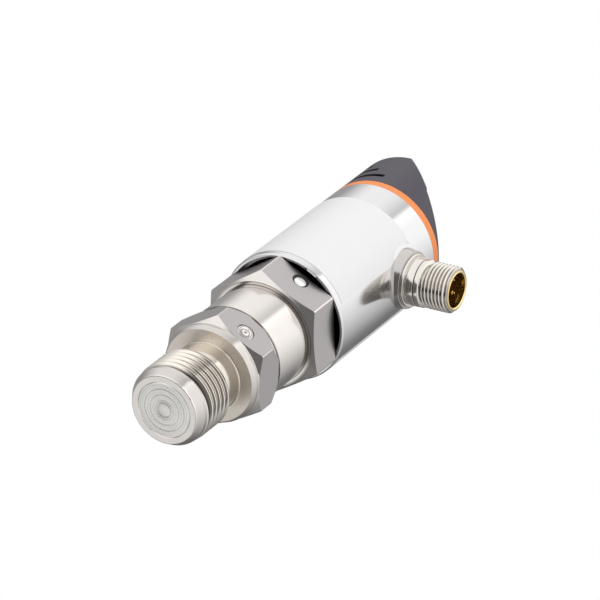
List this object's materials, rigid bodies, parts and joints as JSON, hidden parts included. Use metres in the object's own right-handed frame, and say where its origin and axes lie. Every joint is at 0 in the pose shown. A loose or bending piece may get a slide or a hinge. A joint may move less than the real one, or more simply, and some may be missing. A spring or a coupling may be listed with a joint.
{
  "type": "pressure sensor",
  "caption": "Pressure sensor with a flush diaphragm, male process thread, hexagons, swivelling steel housing, slanted display head with pushbuttons and a round side connector.",
  "frame": {"origin": "centre of the collar's sealing face, on the sensor's axis", "axes": "+Z along the sensor's axis from the process end to the display head, +X along the side connector, out of its mouth"},
  "size_m": [0.048, 0.0342, 0.1214],
  "materials": {
    "steel_turned": "turned and lightly brushed",
    "steel_foil": "rolled foil with ring waves",
    "steel_plug": "turned, bright",
    "vent_black": "matte",
    "vent_steel": "bright",
    "seal_rubber": "matte",
    "cell_steel": "ground",
    "inner_steel": "turned",
    "board_green": "solder resist",
    "chip_black": "moulded",
    "tube_steel": "drawn and polished",
    "label_white": "matte film",
    "connector_nickel": "nickel plated",
    "contact_gold": "gold plated",
    "insert_brown": "moulded",
    "ring_orange": "moulded, satin",
    "head_plastic": "moulded, fine grain",
    "window_dark": "clear dark gloss",
    "display_black": "smooth",
    "led_clear": "milky",
    "switch_black": "moulded",
    "carrier_plastic": "moulded",
    "button_plastic": "moulded, satin"
  },
  "bodies": {
    "process_unit": {"process_fitting": "steel_turned", "process_diaphragm": "steel_foil", "fill_plug": "steel_plug", "sensor_base": "steel_turned", "vent_seal": "vent_black", "vent_disc": "vent_steel", "cell_seal": "seal_rubber", "pressure_cell": "cell_steel", "cell_retainer": "inner_steel", "cell_board": "board_green", "swivel_seal_front": "seal_rubber", "swivel_seal_rear": "seal_rubber", "stop_pin": "inner_steel"},
    "housing": {"stop_ring": "inner_steel", "snap_ring": "inner_steel", "housing_tube": "tube_steel", "label_wrap": "label_white", "connector_shell": "connector_nickel", "connector_nut": "connector_nickel", "connector_liner": "contact_gold", "connector_insert": "insert_brown", "connector_pins": "contact_gold", "connector_seal": "seal_rubber", "orange_ring": "ring_orange", "head_cap": "head_plastic", "head_seal": "seal_rubber", "display_window": "window_dark", "display_module": "display_black", "status_leds": "led_clear", "display_board": "board_green", "button_switches": "switch_black", "board_carrier": "carrier_plastic", "main_board": "board_green", "board_chips": "chip_black"},
    "left_button": {"button_left": "button_plastic"},
    "middle_button": {"button_middle": "button_plastic"},
    "right_button": {"button_right": "button_plastic"}
  },
  "joints": [
    {"name": "housing_swivel", "type": "hinge", "parent": "process_unit", "child": "housing", "pos_m": [0, 0, 0], "axis": [0, 0, 1], "range_deg": [-172.5, 172.5]},
    {"name": "left_button_press", "type": "slide", "parent": "housing", "child": "left_button", "axis": [-0.6894, 0, -0.7243], "range_m": [0, 0.0005], "stiffness_N_per_m": 2000},
    {"name": "middle_button_press", "type": "slide", "parent": "housing", "child": "middle_button", "axis": [-0.6894, 0, -0.7243], "range_m": [0, 0.0005], "stiffness_N_per_m": 2000},
    {"name": "right_button_press", "type": "slide", "parent": "housing", "child": "right_button", "axis": [-0.6894, 0, -0.7243], "range_m": [0, 0.0005], "stiffness_N_per_m": 2000}
  ]
}
